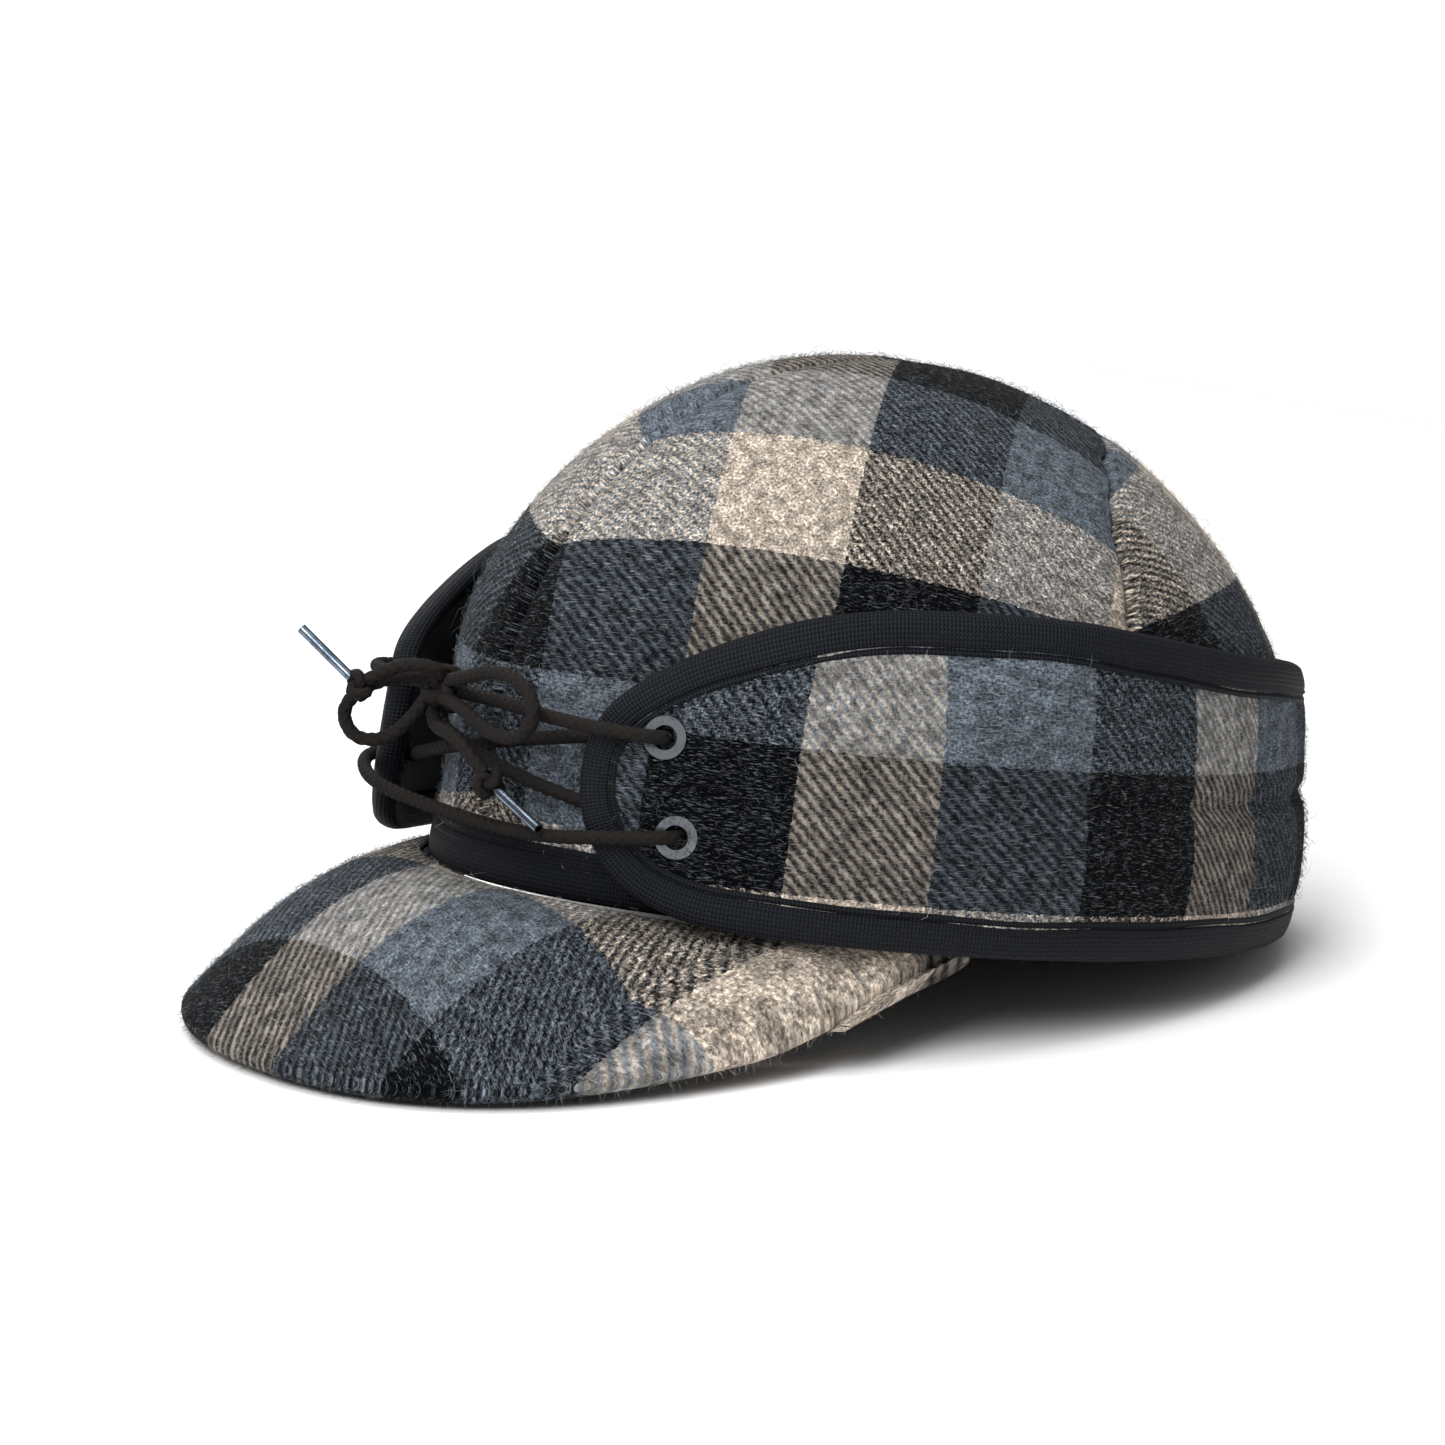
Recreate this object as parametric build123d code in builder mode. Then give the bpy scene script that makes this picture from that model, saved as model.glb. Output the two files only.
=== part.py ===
"""Soft-visored wool cap with a pull-down earband that is laced at the front.

Millimetres. The cap stands as it does on a table: on the front edge of its visor and on the
back edge of its earband, so the crown's own axis leans back a little. Everything is drawn
around HAT, the plane of the earband's bottom edge: local X points to the wearer's left,
local Y to the back and local Z up through the crown.
"""

import os
from math import cos, pi, radians, sin, sqrt, tan

from build123d import *

os.makedirs("parts", exist_ok=True)

# ---- how the cap stands ------------------------------------------------------------------
LEAN = 9.138  # backward lean of the crown's axis, degrees
BASE_HEIGHT = 17.57  # the earband's bottom plane above the table, at the crown's axis
BASE_SHIFT = 22.4  # puts the middle of the whole cap's length over the origin

# ---- crown -------------------------------------------------------------------------------
CROWN_HEIGHT = 120.0
DOME_START = 42.5  # height where the crown is widest
DOME_REACH = 101.5  # half its length there
DOME_RISE, DOME_ROUND = 1.58, 0.48  # exponents of the dome's profile
DOME_HEIGHTS = (65, 74, 83, 92, 100, 107, 112, 116, 118.6)
WALL = ((101.2, 0), (100.3, 20), (99.4, 38), (97.6, 54))  # half length and height, below the dome
CROWN_OVAL = 0.812  # width over length
CROWN_SHIFT = -2.0
WOOL = 2.8
GAP = 0.3  # between one layer and the next
LINING = 1.0
LINING_OUT = WOOL + GAP  # depth of the lining's outer face below the panels' outer face
SWEATBAND = 1.6
SWEATBAND_OUT = LINING_OUT + LINING + GAP
SWEATBAND_HEIGHT = 32.0
BACK_JOIN = 0.4  # the sweatband's ends meet this close to the middle of the back, degrees
SIDE_SEAM = 97.0  # turn of the side seams from the front, degrees
SEAM_TURN = 0.02  # half the gap between two panels, degrees
CROWN_EYE = 2.0  # the panels and the lining end this far from the axis at the top
TRIM = 4.0  # a cut profile has no point nearer than this to its cut
HEM_BINDING = 1.4  # thickness of the tape round the front of the crown's bottom edge
HEM_GAP = 0.2
HEM_TURN = 58.0  # that tape runs this far round from the front, degrees

# ---- earband -----------------------------------------------------------------------------
# reach to the front, the side and the back at each height of the earband's outer face
BAND = ((0, 112, 92, 110), (30, 112.5, 92.3, 112), (50, 111, 90, 109), (60, 109, 88, 104),
        (74, 106, 86.2, 100))
BAND_WOOL = 2.6
BAND_GAP = 0.25
BAND_LINING = 1.2
BAND_INSIDE = BAND_WOOL + BAND_GAP + BAND_LINING
BAND_LAYERS = {"wool": (0, BAND_WOOL), "lining": (BAND_WOOL + BAND_GAP, BAND_INSIDE)}  # depths
BINDING_WIDTH = 8.0
BINDING_PROUD = 0.6  # how far the folded tape stands off both faces
INSET = BINDING_WIDTH + 0.1  # the layers end this far inside the earband's edges
FLAP_DEGREE = 1.72  # length of a degree of turn along the flap's end
# the left flap's edge, from the split over its top, round its end and back along the bottom:
# turn from the front in degrees, and height
FLAP_EDGE = ((83, 71.1), (70, 71), (58, 69.4), (48, 66), (39.5, 60.6), (32.5, 54.2), (27, 46.4),
             (24, 38), (23.4, 29), (24.4, 20), (27.4, 11.6), (32.4, 5), (39.5, 1.2), (48, 0.1), (58, 0),
             (70, 0), (83, 0))
# the moving band's top edge, in the same terms; its right half mirrors this
BAND_TOP = ((83.5, 71.1), (89, 70.8), (94, 69.8), (105, 67.4), (118, 65), (132, 63), (148, 61),
            (164, 59.6), (180, 59))

# ---- visor -------------------------------------------------------------------------------
VISOR_TURN = 74.0  # the visor is sewn on this far round from the front, degrees
VISOR_HEM = (83.0, 101.0, -0.9)  # side, front and height of its sewn edge
VISOR_SIDE, VISOR_BACK, VISOR_LENGTH = 77.3, 23.0, 132.9
VISOR_SQUARE_X, VISOR_SQUARE_Y = 0.91, 0.54  # under 1, they square off the outline
VISOR_CORNER, VISOR_DROP, VISOR_FALL = -4.4, 34.95, 0.62
VISOR_BULGE = 10.0  # rise of its middle above straight lines from hem to edge
# thickness, and the share of the visor's turn that the layer fills
VISOR_LAYERS = {"visor_top_cover": (1.5, 1), "visor_board": (1.6, 0.9), "visor_under_cover": (1.2, 0.9)}
VISOR_LAYER_GAP = 0.3
VISOR_STEP = 0.01  # its slope is read over this step

# ---- lace and eyelets --------------------------------------------------------------------
LACE = 3.0
EYELETS = {"upper": (33.6, 39.0), "lower": (36.6, 18.6)}  # turn from the front, height
EYELET_HOLE, EYELET_BARREL, EYELET_RIM = 2.65, 3.1, 4.6
EYELET_RIM_THICKNESS, WASHER_THICKNESS = 0.6, 0.4
EYELET_GAP = 0.15  # between the rim and the wool, and between the washer and the lining
WOOL_HOLE = 3.2
AGLET, AGLET_WALL, AGLET_LENGTH = 2.2, 0.3, 15.5
AGLET_ROOT = 0.4  # how far the aglet reaches into its knot
BOW_KNOT, BOW_KNOT_RADIUS = (-8, -109.2, 39.4), 5.2
TAIL_KNOTS = {"left": (17.2, -112.4, 23), "right": (-19, -123.8, 37.8)}
TAIL_KNOT_RADIUS = 3.2
AGLET_AIMS = {"left": (11.5, 1.2, -4.6), "right": (-10.1, -7.1, 8.7)}

# Routes around the cap's own axes. The lacing runs from the bow to the left upper eyelet, under
# the flaps to the right lower one, across to the left lower one, under the flaps to the right
# upper one and back to the bow.
LACING = (
    (-4.6, -107.8, 39.5), (12, -109.2, 40.4), (29, -108.9, 39.6), (43, -104.6, 39.3),
    (52.8, -95.6, 39), (46.3, -87.6, 39), (34.6, -95.6, 36.8), (20.6, -101.9, 33.8),
    (4, -105, 30.2), (-13, -104, 26.2), (-28, -99.5, 22.8), (-40.5, -92.5, 20.2),
    (-50, -84.5, 18.6), (-56.9, -92.1, 18.6), (-47.5, -102, 17.2), (-33, -108, 14.8),
    (-12, -108.4, 13.6), (12, -108.3, 13.3), (33, -108, 14.4), (47.5, -102, 17),
    (56.9, -92.1, 18.6), (50, -84.5, 18.6), (40.5, -92.5, 20.2), (29, -100.5, 22.6),
    (14, -108.2, 26), (-6, -109, 30.6), (-20, -104.6, 34.2), (-34.6, -95.6, 37),
    (-46.3, -87.6, 39), (-52.8, -95.6, 39), (-43, -104.6, 39.4), (-28, -109, 39.9),
    (-11.4, -107.9, 39.5),
)
BOW_LOOPS = {
    "left": ((-4.4, -110.6, 42), (4.7, -112.8, 44), (13.7, -113.8, 46.6), (21.5, -114, 46.6),
             (27, -113.6, 42), (26.6, -113.4, 36.4), (20.8, -113.6, 33.4), (13, -113.8, 34.6),
             (4.5, -112.8, 37.2), (-4, -111, 37.4)),
    "right": ((-12, -110.6, 37.6), (-13.6, -113, 31.8), (-18.3, -116.2, 26.4),
              (-24.3, -120.3, 25.6), (-27.5, -122.3, 31), (-24.4, -120.4, 36.6),
              (-18, -116, 40.4), (-12.2, -110.8, 41.6)),
}
LACE_TAILS = {
    "left": ((-8, -109.5, 34.9), (-3.4, -112.6, 32.4), (3.6, -114.2, 31.4), (10, -114, 28.8),
             (15.6, -112.8, 24.6)),
    "right": ((-8.4, -111.6, 43), (-10.5, -116.3, 44.2), (-14, -120.6, 42.4),
              (-17.8, -123, 39.4)),
}

HAT = Plane(
    origin=(0, BASE_SHIFT, BASE_HEIGHT),
    x_dir=(1, 0, 0),
    z_dir=(0, sin(radians(LEAN)), cos(radians(LEAN))),
)
SIDES = {"left": 1, "right": -1}


def save(piece, name):
    """Label a finished sub-part and write its STEP file."""
    piece.part.label = name
    export_step(piece.part, f"parts/{name}.step")


def on_hat(x, y, z):
    """A point given around the cap's own axes, in the part's frame."""
    return HAT.from_local_coords((x, y, z))


def dome(inset):
    """Half profile of the crown, inset from its outer face by a distance: reach and height."""
    points = [(reach - inset, height) for reach, height in WALL]
    rise = CROWN_HEIGHT - DOME_START
    for height in DOME_HEIGHTS:
        share = (height - DOME_START) / rise
        girth = (1 - share**DOME_RISE) ** DOME_ROUND
        points.append((girth * (DOME_REACH - inset), DOME_START + share * (rise - inset)))
    return points + [(CROWN_EYE, CROWN_HEIGHT - inset)]


def crown_slice(turn, outer, inner):
    """An upright slice of a crown layer between two half profiles, cut from the axis outwards."""
    across, along = sin(radians(turn)), -cos(radians(turn))
    oval = 1 / sqrt((across / CROWN_OVAL) ** 2 + along**2)

    def place(points):
        reaches = [(reach * oval if reach > CROWN_EYE else reach, height) for reach, height in points]
        return [on_hat(across * reach, CROWN_SHIFT + along * reach, height)
                for reach, height in reaches]

    outside, inside = place(outer), place(inner)
    edges = [Edge.make_spline(outside), Edge.make_line(outside[-1], inside[-1]),
             Edge.make_spline(inside[::-1]), Edge.make_line(inside[0], outside[0])]
    return Face(Wire(edges))


def crown_layer(start, end, outer, inner, step=14):
    """A layer of the crown between two turns from the front."""
    count = max(3, round((end - start) / step))
    turns = [start + (end - start) * index / count for index in range(count + 1)]
    with BuildPart() as layer:
        loft(sections=[crown_slice(turn, outer, inner) for turn in turns])
    return layer.part


def between(table, value):
    """Straight-line reading of a table whose first column rises."""
    for (before, *start), (after, *end) in zip(table, table[1:]):
        if value <= after:
            break
    share = (value - before) / (after - before)
    return [first + share * (last - first) for first, last in zip(start, end)]


def below(points, height):
    """The part of a half profile below a height."""
    kept = [point for point in points if point[1] < height - TRIM]
    return kept + [(between([(z, reach) for reach, z in points], height)[0], height)]


def band_point(turn, height, depth=0.0):
    """A point of the earband, at a depth below its outer face."""
    front, side, back = between(BAND, height)
    across = BAND[0][2] * sin(radians(turn))
    along = -BAND[0][1] * cos(radians(turn))
    away = sqrt(across**2 + along**2)
    length = front if along < 0 else back
    reach = 1 / sqrt((across / away / side) ** 2 + (along / away / length) ** 2) - depth
    return on_hat(across / away * reach, along / away * reach, height)


def quad(*corners):
    """A flat face through the given corners."""
    return Face(Wire.make_polygon(corners, close=True))


def band_strip(turns, bottom_edge, top_edge, outside, inside):
    """A curved strip of the earband between two edges and two depths."""
    with BuildPart() as strip:
        slices = []
        for turn in turns:
            bottom, top = bottom_edge(turn), top_edge(turn)
            heights = [bottom + (top - bottom) * share for share in (0, 0.4, 0.75, 1)]
            outer = [band_point(turn, height, outside) for height in heights]
            inner = [band_point(turn, height, inside) for height in reversed(heights)]
            slices.append(quad(*outer, *inner))
        loft(sections=slices)
    return strip.part


def edge_bar(edge, side):
    """Folded binding along an edge of turns and heights; side says which way it reaches in."""
    with BuildPart() as bar:
        slices = []
        last = len(edge) - 1
        for index, (turn, height) in enumerate(edge):
            before = band_point(*edge[max(index - 1, 0)])
            after = band_point(*edge[min(index + 1, last)])
            along = (after - before).normalized()
            corner = band_point(turn, height)
            outward = (band_point(turn, height, -1) - corner).normalized()
            inward = outward.cross(along) * (side * BINDING_WIDTH)
            face = corner + outward * BINDING_PROUD
            back = corner - outward * (BAND_INSIDE + BINDING_PROUD)
            slices.append(quad(face, face + inward, back + inward, back))
        loft(sections=slices)
    return bar.part


# ---- crown: four wool panels over a lining -----------------------------------------------
PANELS = {
    "front": (SEAM_TURN, SIDE_SEAM - SEAM_TURN),
    "back": (SIDE_SEAM + SEAM_TURN, 180 - SEAM_TURN),
}
for name, side in SIDES.items():
    for place, (start, end) in PANELS.items():
        start, end = sorted((side * start, side * end))
        with BuildPart() as panel:
            add(crown_layer(start, end, dome(0), dome(WOOL)))
        save(panel, f"crown_panel_{place}_{name}")

    start, end = sorted((side * SEAM_TURN, side * (180 - SEAM_TURN)))
    with BuildPart() as crown_lining:
        add(crown_layer(start, end, dome(LINING_OUT), dome(LINING_OUT + LINING)))
    save(crown_lining, f"crown_lining_{name}")

with BuildPart() as sweatband:
    add(crown_layer(BACK_JOIN - 180, 180 - BACK_JOIN, below(dome(SWEATBAND_OUT), SWEATBAND_HEIGHT),
                    below(dome(SWEATBAND_OUT + SWEATBAND), SWEATBAND_HEIGHT)))
save(sweatband, "sweatband")

# ---- grosgrain binding round the front of the crown's bottom edge -------------------------
with BuildPart() as front_hem_binding:
    add(crown_layer(-HEM_TURN, HEM_TURN, below(dome(-HEM_GAP - HEM_BINDING), BINDING_WIDTH),
                    below(dome(-HEM_GAP), BINDING_WIDTH)))
save(front_hem_binding, "front_hem_binding")

# ---- earband: wool outside, lining inside, bound edges ------------------------------------
flap_inner_edge = []
for before, here, after in zip(FLAP_EDGE, FLAP_EDGE[1:], FLAP_EDGE[2:]):
    run = (after[0] - before[0]) * FLAP_DEGREE
    rise = after[1] - before[1]
    step = INSET / sqrt(run**2 + rise**2)
    flap_inner_edge.append((here[0] - rise * step / FLAP_DEGREE, here[1] + run * step))
flap_inner_edge.insert(0, (FLAP_EDGE[0][0], FLAP_EDGE[0][1] - INSET))
flap_inner_edge.append((FLAP_EDGE[-1][0], FLAP_EDGE[-1][1] + INSET))
tip = min(range(len(flap_inner_edge)), key=lambda index: flap_inner_edge[index][0])
flap_over = flap_inner_edge[tip::-1]
flap_under = flap_inner_edge[tip:]
tip_turn, end_turn = flap_inner_edge[tip][0], FLAP_EDGE[0][0]
flap_turns = [tip_turn + (end_turn - tip_turn) * (0.03 + 0.97 * (step / 10) ** 1.3)
              for step in range(11)]


def eyelet_plane(turn, height):
    """The plane of the earband's outer face at an eyelet, facing out."""
    along = band_point(turn + 1, height) - band_point(turn - 1, height)
    upward = band_point(turn, height + 1) - band_point(turn, height - 1)
    return Plane(origin=band_point(turn, height), x_dir=along, z_dir=along.cross(upward))


for name, side in SIDES.items():
    with BuildPart() as flap_binding:
        add(edge_bar([(side * turn, height) for turn, height in FLAP_EDGE], side))
    save(flap_binding, f"flap_{name}_binding")

    for layer, depths in BAND_LAYERS.items():
        with BuildPart() as flap_layer:
            add(band_strip([side * turn for turn in flap_turns],
                           lambda turn: between(flap_under, abs(turn))[0],
                           lambda turn: between(flap_over, abs(turn))[0], *depths))
            for turn, height in EYELETS.values():
                with BuildSketch(eyelet_plane(side * turn, height)):
                    Circle(WOOL_HOLE)
                extrude(amount=2 * BAND_INSIDE, both=True, mode=Mode.SUBTRACT)
        save(flap_layer, f"flap_{name}_{layer}")

    for place, (turn, height) in EYELETS.items():
        face = eyelet_plane(side * turn, height)
        rim_face = face.offset(EYELET_GAP)
        washer_face = face.offset(-BAND_INSIDE - EYELET_GAP)
        with BuildPart() as eyelet:
            with BuildSketch(rim_face):
                Circle(EYELET_RIM)
                Circle(EYELET_HOLE, mode=Mode.SUBTRACT)
            extrude(amount=EYELET_RIM_THICKNESS)
            with BuildSketch(rim_face):
                Circle(EYELET_BARREL)
                Circle(EYELET_HOLE, mode=Mode.SUBTRACT)
            extrude(amount=-BAND_INSIDE - WASHER_THICKNESS - 2 * EYELET_GAP)
        save(eyelet, f"eyelet_{name}_{place}")

        with BuildPart() as washer:
            with BuildSketch(washer_face):
                Circle(EYELET_RIM)
                Circle(EYELET_BARREL, mode=Mode.SUBTRACT)
            extrude(amount=-WASHER_THICKNESS)
        save(washer, f"eyelet_washer_{name}_{place}")

band_edge = BAND_TOP + tuple((360 - turn, height) for turn, height in BAND_TOP[-2::-1])
band_turns = [turn for turn, height in band_edge]

with BuildPart() as earband_top_binding:
    add(edge_bar(band_edge, -1))
save(earband_top_binding, "earband_top_binding")

with BuildPart() as earband_bottom_binding:
    add(edge_bar([(turn, 0) for turn in band_turns], 1))
save(earband_bottom_binding, "earband_bottom_binding")

for layer, depths in BAND_LAYERS.items():
    with BuildPart() as earband_layer:
        add(band_strip(band_turns, lambda turn: INSET,
                       lambda turn: between(band_edge, turn)[0] - INSET, *depths))
    save(earband_layer, f"earband_{layer}")


# ---- visor: a board between two covers ----------------------------------------------------
def visor_point(across, out):
    """A point of the visor: across runs from -1 to 1 between its ends, out from hem to edge."""
    turn = radians(across * VISOR_TURN)
    side, front, height = VISOR_HEM
    hem = on_hat(side * sin(turn), -front * cos(turn), height)
    swing = radians(90 * across)
    fore = abs(cos(swing)) ** VISOR_SQUARE_Y
    edge_x = VISOR_SIDE * abs(sin(swing)) ** VISOR_SQUARE_X * (1 if across > 0 else -1)
    edge = on_hat(edge_x, -VISOR_BACK - VISOR_LENGTH * fore,
                  VISOR_CORNER - VISOR_DROP * fore**VISOR_FALL)
    bulge = HAT.z_dir * (VISOR_BULGE * 4 * out * (1 - out) * cos(swing))
    return hem + (edge - hem) * out + bulge


def beneath_visor(across, out, depth):
    """A point at a depth below visor_point, square to the visor's surface."""
    along = visor_point(across + VISOR_STEP, out) - visor_point(across - VISOR_STEP, out)
    outward = visor_point(across, out + VISOR_STEP) - visor_point(across, out - VISOR_STEP)
    return visor_point(across, out) + along.cross(outward).normalized() * depth


half_rows = (0.16, 0.33, 0.5, 0.66, 0.8, 0.9, 0.97, 1)
visor_rows = [-row for row in reversed(half_rows)] + [0] + list(half_rows)
visor_columns = [step / 10 for step in range(11)]
visor_depth = 0.0
for name, (thickness, span) in VISOR_LAYERS.items():
    grid = [[beneath_visor(row * span, column, visor_depth) for column in visor_columns]
            for row in visor_rows]
    with BuildPart() as visor_layer:
        thicken(Face.make_surface_from_array_of_points(grid, tol=0.05), amount=thickness)
    save(visor_layer, name)
    visor_depth += thickness + VISOR_LAYER_GAP


# ---- lace ---------------------------------------------------------------------------------
def lace_tube(route, name):
    """A round tube along straight runs joined by arcs as large as the runs allow."""
    points = [on_hat(*point) for point in route]
    radii = []
    for before, corner, after in zip(points, points[1:], points[2:]):
        turn = (corner - before).get_angle(after - corner)
        shorter = min((corner - before).length, (after - corner).length)
        radii.append(0.45 * shorter / tan(radians(turn / 2)))
    with BuildPart() as tube:
        with BuildLine() as path:
            FilletPolyline(*points, radius=radii)
        with BuildSketch(Plane(origin=path.line @ 0, z_dir=path.line % 0)):
            Circle(LACE / 2)
        sweep(path=path.line)
    length = sum(edge.length for edge in path.line.edges())
    print(f"{name}: length {length:.1f}, tightest {min(radii):.1f}, volume"
          f" {tube.part.volume / (pi * LACE**2 / 4 * length):.3f} of section times length")
    return tube


def bead(centre, radius):
    """A round knot."""
    with BuildPart(Plane(origin=on_hat(*centre))) as knot:
        Sphere(radius)
    return knot


save(lace_tube(LACING, "lacing"), "lacing")
save(bead(BOW_KNOT, BOW_KNOT_RADIUS), "bow_knot")

for name in SIDES:
    save(lace_tube(BOW_LOOPS[name], f"bow_loop_{name}"), f"bow_loop_{name}")
    save(lace_tube(LACE_TAILS[name], f"lace_tail_{name}"), f"lace_tail_{name}")
    save(bead(TAIL_KNOTS[name], TAIL_KNOT_RADIUS), f"tail_knot_{name}")

    knot = on_hat(*TAIL_KNOTS[name])
    aim = (HAT.from_local_coords(AGLET_AIMS[name]) - HAT.origin).normalized()
    with BuildPart() as aglet:
        with BuildSketch(Plane(origin=knot + aim * (TAIL_KNOT_RADIUS - AGLET_ROOT), z_dir=aim)):
            Circle(AGLET / 2)
            Circle(AGLET / 2 - AGLET_WALL, mode=Mode.SUBTRACT)
        extrude(amount=AGLET_LENGTH)
    save(aglet, f"aglet_{name}")
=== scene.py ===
"""Looks of a plaid wool cap with a pull-down, laced earband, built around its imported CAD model.

Shapes are drawn around the cap's own axes in millimetres, as in the CAD source, and to_frame
puts them in the part's frame in metres. X points to the wearer's left, Y back and Z up through
the crown; a turn is an angle in degrees from the front, positive towards the wearer's left.
"""

from math import cos, pi, radians, sin

import bmesh
import bpy
import numpy as np
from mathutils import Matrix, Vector


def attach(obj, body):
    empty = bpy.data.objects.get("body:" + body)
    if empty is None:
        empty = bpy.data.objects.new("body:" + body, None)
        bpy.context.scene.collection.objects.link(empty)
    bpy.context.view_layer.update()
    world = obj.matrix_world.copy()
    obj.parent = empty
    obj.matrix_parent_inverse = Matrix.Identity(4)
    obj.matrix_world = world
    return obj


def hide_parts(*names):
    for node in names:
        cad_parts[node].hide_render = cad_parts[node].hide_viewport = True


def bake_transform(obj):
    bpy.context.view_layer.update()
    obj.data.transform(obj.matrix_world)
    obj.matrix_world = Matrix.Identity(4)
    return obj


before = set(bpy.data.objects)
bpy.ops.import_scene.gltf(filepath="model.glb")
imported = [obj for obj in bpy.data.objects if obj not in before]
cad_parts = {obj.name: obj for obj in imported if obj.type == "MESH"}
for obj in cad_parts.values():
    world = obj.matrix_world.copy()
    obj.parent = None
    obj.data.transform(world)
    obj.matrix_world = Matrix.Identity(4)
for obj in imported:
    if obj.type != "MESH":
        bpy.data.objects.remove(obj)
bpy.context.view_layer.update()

MM = 0.001

# ---- how the cap stands, as in the CAD source ---------------------------------------------
LEAN = radians(9.138)
HAT_ORIGIN = np.array([0, 22.4, 17.57])
HAT_AXES = np.array([[1, 0, 0], [0, cos(LEAN), -sin(LEAN)], [0, sin(LEAN), cos(LEAN)]])

# ---- crown --------------------------------------------------------------------------------
CROWN_LENGTH, CROWN_WIDTH = 101.5, 85.8  # half length and half width where it is widest
CROWN_TOP, CROWN_WAIST = 120.5, 42.5  # height of its top, and of its widest level
DOME_SQUARE, DOME_ROUND = 1.576, 0.477
CROWN_LEAN_BACK, CROWN_EGG = -3.4, 0.156
TUCK_HIGH, TUCK_LOW = 66.0, 44.0  # between these heights it narrows to go inside the earband
TUCK_SIDE, TUCK_BACK = 0.055, 0.03
SEAM_HEIGHTS = (73, 90.6, 98, 105.5, 109, 110.9)
SEAM_TURNS = (97, 102, 108, 120, 145, 180)
PANEL_THICKNESS = 2.4
CELL = 1.25  # spacing of the wool grids
# depths below the crown's outer face of the lining's and the sweatband's two faces
LINING_OUT, LINING_IN = 3.2, 4.0
SWEAT_OUT, SWEAT_IN = 4.4, 5.8
SWEAT_BOTTOM, SWEAT_TOP, SWEAT_FOLD = 0.3, 31.5, 28.5  # heights; its top edge is folded over
WOOL_HAIRS, VISOR_HAIRS = 0.42, 0.6  # loose hairs on a square millimetre

# ---- front hem ----------------------------------------------------------------------------
HEM_END = 72  # turn where the tape stops at each side
HEM_RADIUS = 95  # the crown's radius there, near enough for the length of the tape's weave
# the tape's section: height, and how far it stands proud of the wool
HEM_SECTION = np.array([
    (10.6, 0.0), (10.4, 0.55), (9.4, 0.75), (8.7, 0.4), (8.3, 0.9), (7.4, 1.25), (6.6, 1.0),
    (5.6, 1.35), (3.4, 1.5), (1.4, 1.35), (0.2, 0.9), (-0.4, -0.2), (0.2, -1.2), (4, -1.4)])

# ---- earband ------------------------------------------------------------------------------
BAND = np.array([(0, 112, 92, 110), (30, 112.5, 92.3, 112), (50, 111, 90, 109),
                 (60, 109, 88, 104), (74, 106, 86.2, 100)])
BAND_FITS = [np.polyfit(BAND[:, 0], BAND[:, column], 3) for column in (1, 2, 3)]
BAND_SIDE, BAND_FRONT = 92.0, 112.0
# depths of the wool's inner face and of the lining's two faces
BAND_WOOL, BAND_LINING_OUT, BAND_LINING_IN = 2.6, 2.85, 4.05
FLAP_EDGE = ((83, 71.4), (70, 71), (58, 69.4), (48, 66), (39.5, 60.6), (32.5, 54.2),
             (27, 46.4), (24, 38), (23.4, 29), (24.4, 20), (27.4, 11.6), (32.4, 5),
             (39.5, 1.2), (48, 0.1), (58, 0), (70, 0), (83, 0))
BAND_TOP = ((94, 69.6), (105, 67.4), (118, 65), (132, 63), (148, 61), (164, 59.6), (180, 59))
BAND_BOTTOM = ((150, 0), (118, 0), (100, 0))
DEGREE = 1.72  # length of a degree of turn along the earband
QUILT_HEIGHT, QUILT_DEPTH = 33.0, 1.5  # the stitched line that pinches its back
HAIR_INSET = 9.4  # the tape covers the wool this far in from its edge
FLAP_DRAW = 8.0  # how far the lace draws the flaps' upper edges in
# the folded tape's section: distance in from the edge, and depth below the wool's face
TAPE_SECTION = np.array([
    (8.6, 0.25), (8.4, -0.3), (7.8, -0.5), (7.2, -0.3), (6.9, 0.1), (6.7, -0.5), (6.2, -0.95),
    (5.6, -0.75), (5.0, -1.0), (3.8, -1.1), (2.2, -1.05), (0.9, -0.8), (0.0, -0.1), (-0.5, 1.0),
    (-0.65, 2.2), (-0.4, 3.6), (0.3, 4.5), (1.6, 4.9), (4.0, 5.0), (7.4, 4.9), (8.0, 4.3)])
EYELETS = ((33.6, 39.0), (36.6, 18.6))
EYELET_HOLE = 3.2

# ---- visor --------------------------------------------------------------------------------
VISOR_TURN = 74.0
VISOR_HEM = (83.0, 101.0, -0.9)
VISOR_SIDE, VISOR_BACK, VISOR_LENGTH = 77.3, 23.0, 132.9
VISOR_SQUARE_X, VISOR_SQUARE_Y = 0.91, 0.54
VISOR_CORNER, VISOR_DROP, VISOR_FALL = -4.4, 34.95, 0.62
VISOR_BULGE = 10.0
VISOR_THICKNESS, VISOR_END_THICKNESS = 5.1, 0.8
VISOR_COVER, VISOR_UNDER_COVER = 1.1, 1.0  # thickness of the two covers
VISOR_LIFT = 4.6  # rise of the edge at its two ends
VISOR_ROLL = 0.982  # share of the way out where the top cover starts to roll under

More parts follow.
